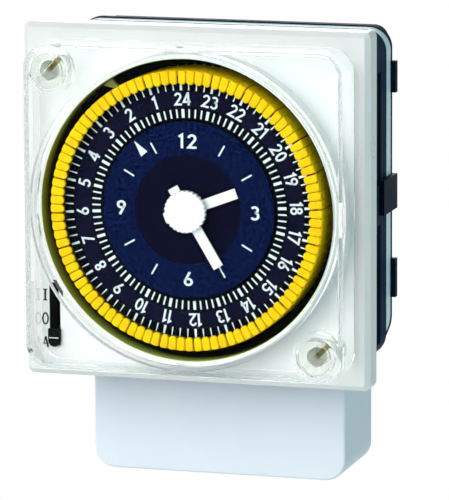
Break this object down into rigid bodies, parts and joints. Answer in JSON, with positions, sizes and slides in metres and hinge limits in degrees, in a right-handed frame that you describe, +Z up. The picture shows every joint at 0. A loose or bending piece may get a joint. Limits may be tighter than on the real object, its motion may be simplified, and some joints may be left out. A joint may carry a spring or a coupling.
{
  "type": "time switch",
  "caption": "Square dial time switch: clear screwed cover, turning day dial with push trippers, clock hands, manual lever, rail-mount back and a slide-off terminal cover.",
  "frame": {"origin": "centre of the rail seat, the flat floor of the rail channel in the back of the base", "axes": "+X to the viewer's right, +Z up, +Y into the wall; the dial faces -Y"},
  "size_m": [0.072, 0.0456, 0.0963],
  "materials": {
    "black_plastic": "satin",
    "grey_plastic": "satin",
    "navy_plastic": "satin",
    "white_plastic": "gloss",
    "pale_plastic": "satin",
    "clear_plastic": "clear",
    "dial_plastic": "satin",
    "blue_plastic": "satin",
    "yellow_plastic": "gloss",
    "white_paint": "satin",
    "brass": "satin",
    "steel": "satin"
  },
  "bodies": {
    "case": {"back_base": "black_plastic", "rear_housing": "grey_plastic", "movement_case": "navy_plastic", "front_plate": "white_plastic", "front_frame": "brass", "rear_frame": "brass", "frame_pillars": "brass", "centre_tube": "brass", "clock_face": "blue_plastic", "motion_stud": "steel", "motor_body": "steel", "microswitch": "black_plastic", "conductor_strips": "brass", "terminal_block": "grey_plastic", "terminal_clamps": "brass", "terminal_screws": "steel", "case_screws": "steel"},
    "drum": {"dial_drum": "dial_plastic"},
    "hour": {"hour_wheel": "brass", "hour_hand": "white_paint"},
    "minute": {"minute_arbor": "steel", "centre_wheel": "brass", "minute_hand": "white_paint", "setting_hub": "white_plastic"},
    "motion": {"motion_wheel": "white_plastic"},
    "transfer": {"transfer_wheel": "white_plastic"},
    "motor_shaft": {"motor_pinion": "steel"},
    "feeler": {"switch_feeler": "white_plastic"},
    "plunger": {"switch_plunger": "black_plastic"},
    "lever": {"manual_lever": "black_plastic"},
    "cover": {"clear_cover": "clear_plastic"},
    "left_screw": {"cover_screw_left": "clear_plastic"},
    "right_screw": {"cover_screw_right": "clear_plastic"},
    "terminal_hood": {"terminal_cover": "pale_plastic"},
    "latch": {"rail_latch": "black_plastic"},
    "trippers_hour_00": {"trippers_hour_00": "yellow_plastic"},
    "trippers_hour_01": {"trippers_hour_01": "yellow_plastic"},
    "trippers_hour_02": {"trippers_hour_02": "yellow_plastic"},
    "trippers_hour_03": {"trippers_hour_03": "yellow_plastic"},
    "trippers_hour_04": {"trippers_hour_04": "yellow_plastic"},
    "trippers_hour_05": {"trippers_hour_05": "yellow_plastic"},
    "trippers_hour_06": {"trippers_hour_06": "yellow_plastic"},
    "trippers_hour_07": {"trippers_hour_07": "yellow_plastic"},
    "trippers_hour_08": {"trippers_hour_08": "yellow_plastic"},
    "trippers_hour_09": {"trippers_hour_09": "yellow_plastic"},
    "trippers_hour_10": {"trippers_hour_10": "yellow_plastic"},
    "trippers_hour_11": {"trippers_hour_11": "yellow_plastic"},
    "trippers_hour_12": {"trippers_hour_12": "yellow_plastic"},
    "trippers_hour_13": {"trippers_hour_13": "yellow_plastic"},
    "trippers_hour_14": {"trippers_hour_14": "yellow_plastic"},
    "trippers_hour_15": {"trippers_hour_15": "yellow_plastic"},
    "trippers_hour_16": {"trippers_hour_16": "yellow_plastic"},
    "trippers_hour_17": {"trippers_hour_17": "yellow_plastic"},
    "trippers_hour_18": {"trippers_hour_18": "yellow_plastic"},
    "trippers_hour_19": {"trippers_hour_19": "yellow_plastic"},
    "trippers_hour_20": {"trippers_hour_20": "yellow_plastic"},
    "trippers_hour_21": {"trippers_hour_21": "yellow_plastic"},
    "trippers_hour_22": {"trippers_hour_22": "yellow_plastic"},
    "trippers_hour_23": {"trippers_hour_23": "yellow_plastic"}
  },
  "joints": [
    {"name": "drum_turn", "type": "hinge", "parent": "case", "child": "drum", "pos_m": [0, -0.03, 0], "axis": [0, 1, 0], "continuous": true},
    {"name": "hour_turn", "type": "hinge", "parent": "case", "child": "hour", "pos_m": [0, -0.03, 0], "axis": [0, 1, 0], "continuous": true},
    {"name": "minute_turn", "type": "hinge", "parent": "case", "child": "minute", "pos_m": [0, -0.03, 0], "axis": [0, 1, 0], "continuous": true},
    {"name": "motion_turn", "type": "hinge", "parent": "case", "child": "motion", "pos_m": [-0.01, -0.02, 0], "axis": [0, 1, 0], "continuous": true},
    {"name": "transfer_turn", "type": "hinge", "parent": "case", "child": "transfer", "pos_m": [0.01131, -0.022, 0.01131], "axis": [0, 1, 0], "continuous": true},
    {"name": "motor_turn", "type": "hinge", "parent": "case", "child": "motor_shaft", "pos_m": [0.01061, -0.0165, -0.01061], "axis": [0, 1, 0], "continuous": true},
    {"name": "lever_slide", "type": "slide", "parent": "case", "child": "lever", "axis": [0, 0, 1], "range_m": [0, 0.0096]},
    {"name": "feeler_swing", "type": "hinge", "parent": "case", "child": "feeler", "pos_m": [-0.0234, -0.024, 0.0234], "axis": [0, -1, 0], "range_deg": [0, 8]},
    {"name": "plunger_press", "type": "slide", "parent": "case", "child": "plunger", "axis": [1, 0, 0], "range_m": [0, 0.0007]},
    {"name": "cover_lift", "type": "slide", "parent": "case", "child": "cover", "axis": [0, -1, 0], "range_m": [0, 0.025]},
    {"name": "left_screw_turn", "type": "hinge", "parent": "cover", "child": "left_screw", "pos_m": [-0.0276, -0.039, 0.0276], "axis": [0, -1, 0], "range_deg": [0, 90]},
    {"name": "right_screw_turn", "type": "hinge", "parent": "cover", "child": "right_screw", "pos_m": [0.0276, -0.039, -0.0276], "axis": [0, -1, 0], "range_deg": [0, 90]},
    {"name": "terminal_cover_slide", "type": "slide", "parent": "case", "child": "terminal_hood", "axis": [0, 0, -1], "range_m": [0, 0.026]},
    {"name": "latch_slide", "type": "slide", "parent": "case", "child": "latch", "axis": [0, 0, -1], "range_m": [0, 0.0035], "stiffness_N_per_m": 800},
    {"name": "trippers_hour_00_push", "type": "slide", "parent": "drum", "child": "trippers_hour_00", "axis": [0.1857, 0, -0.9826], "range_m": [0, 0.0011]},
    {"name": "trippers_hour_01_push", "type": "slide", "parent": "drum", "child": "trippers_hour_01", "axis": [0.4337, 0, -0.9011], "range_m": [0, 0.0011]},
    {"name": "trippers_hour_02_push", "type": "slide", "parent": "drum", "child": "trippers_hour_02", "axis": [0.6521, 0, -0.7581], "range_m": [0, 0.0011]},
    {"name": "trippers_hour_03_push", "type": "slide", "parent": "drum", "child": "trippers_hour_03", "axis": [0.8261, 0, -0.5635], "range_m": [0, 0.0011]},
    {"name": "trippers_hour_04_push", "type": "slide", "parent": "drum", "child": "trippers_hour_04", "axis": [0.9438, 0, -0.3305], "range_m": [0, 0.0011]},
    {"name": "trippers_hour_05_push", "type": "slide", "parent": "drum", "child": "trippers_hour_05", "axis": [0.9972, 0, -0.075], "range_m": [0, 0.0011]},
    {"name": "trippers_hour_06_push", "type": "slide", "parent": "drum", "child": "trippers_hour_06", "axis": [0.9826, 0, 0.1857], "range_m": [0, 0.0011]},
    {"name": "trippers_hour_07_push", "type": "slide", "parent": "drum", "child": "trippers_hour_07", "axis": [0.9011, 0, 0.4337], "range_m": [0, 0.0011]},
    {"name": "trippers_hour_08_push", "type": "slide", "parent": "drum", "child": "trippers_hour_08", "axis": [0.7581, 0, 0.6521], "range_m": [0, 0.0011]},
    {"name": "trippers_hour_09_push", "type": "slide", "parent": "drum", "child": "trippers_hour_09", "axis": [0.5635, 0, 0.8261], "range_m": [0, 0.0011]},
    {"name": "trippers_hour_10_push", "type": "slide", "parent": "drum", "child": "trippers_hour_10", "axis": [0.3305, 0, 0.9438], "range_m": [0, 0.0011]},
    {"name": "trippers_hour_11_push", "type": "slide", "parent": "drum", "child": "trippers_hour_11", "axis": [0.075, 0, 0.9972], "range_m": [0, 0.0011]},
    {"name": "trippers_hour_12_push", "type": "slide", "parent": "drum", "child": "trippers_hour_12", "axis": [-0.1857, 0, 0.9826], "range_m": [0, 0.0011]},
    {"name": "trippers_hour_13_push", "type": "slide", "parent": "drum", "child": "trippers_hour_13", "axis": [-0.4337, 0, 0.9011], "range_m": [0, 0.0011]},
    {"name": "trippers_hour_14_push", "type": "slide", "parent": "drum", "child": "trippers_hour_14", "axis": [-0.6521, 0, 0.7581], "range_m": [0, 0.0011]},
    {"name": "trippers_hour_15_push", "type": "slide", "parent": "drum", "child": "trippers_hour_15", "axis": [-0.8261, 0, 0.5635], "range_m": [0, 0.0011]},
    {"name": "trippers_hour_16_push", "type": "slide", "parent": "drum", "child": "trippers_hour_16", "axis": [-0.9438, 0, 0.3305], "range_m": [0, 0.0011]},
    {"name": "trippers_hour_17_push", "type": "slide", "parent": "drum", "child": "trippers_hour_17", "axis": [-0.9972, 0, 0.075], "range_m": [0, 0.0011]},
    {"name": "trippers_hour_18_push", "type": "slide", "parent": "drum", "child": "trippers_hour_18", "axis": [-0.9826, 0, -0.1857], "range_m": [0, 0.0011]},
    {"name": "trippers_hour_19_push", "type": "slide", "parent": "drum", "child": "trippers_hour_19", "axis": [-0.9011, 0, -0.4337], "range_m": [0, 0.0011]},
    {"name": "trippers_hour_20_push", "type": "slide", "parent": "drum", "child": "trippers_hour_20", "axis": [-0.7581, 0, -0.6521], "range_m": [0, 0.0011]},
    {"name": "trippers_hour_21_push", "type": "slide", "parent": "drum", "child": "trippers_hour_21", "axis": [-0.5635, 0, -0.8261], "range_m": [0, 0.0011]},
    {"name": "trippers_hour_22_push", "type": "slide", "parent": "drum", "child": "trippers_hour_22", "axis": [-0.3305, 0, -0.9438], "range_m": [0, 0.0011]},
    {"name": "trippers_hour_23_push", "type": "slide", "parent": "drum", "child": "trippers_hour_23", "axis": [-0.075, 0, -0.9972], "range_m": [0, 0.0011]}
  ],
  "couplings": [
    {"joint": "hour_turn", "follows": "drum_turn", "ratio": 2},
    {"joint": "minute_turn", "follows": "drum_turn", "ratio": 24},
    {"joint": "transfer_turn", "follows": "drum_turn", "ratio": -2},
    {"joint": "motion_turn", "follows": "drum_turn", "ratio": -8},
    {"joint": "motor_turn", "follows": "drum_turn", "ratio": -96},
    {"joint": "feeler_swing", "follows": "lever_slide", "rad_per_m": 14.54},
    {"joint": "plunger_press", "follows": "lever_slide", "ratio": 0.0725}
  ]
}
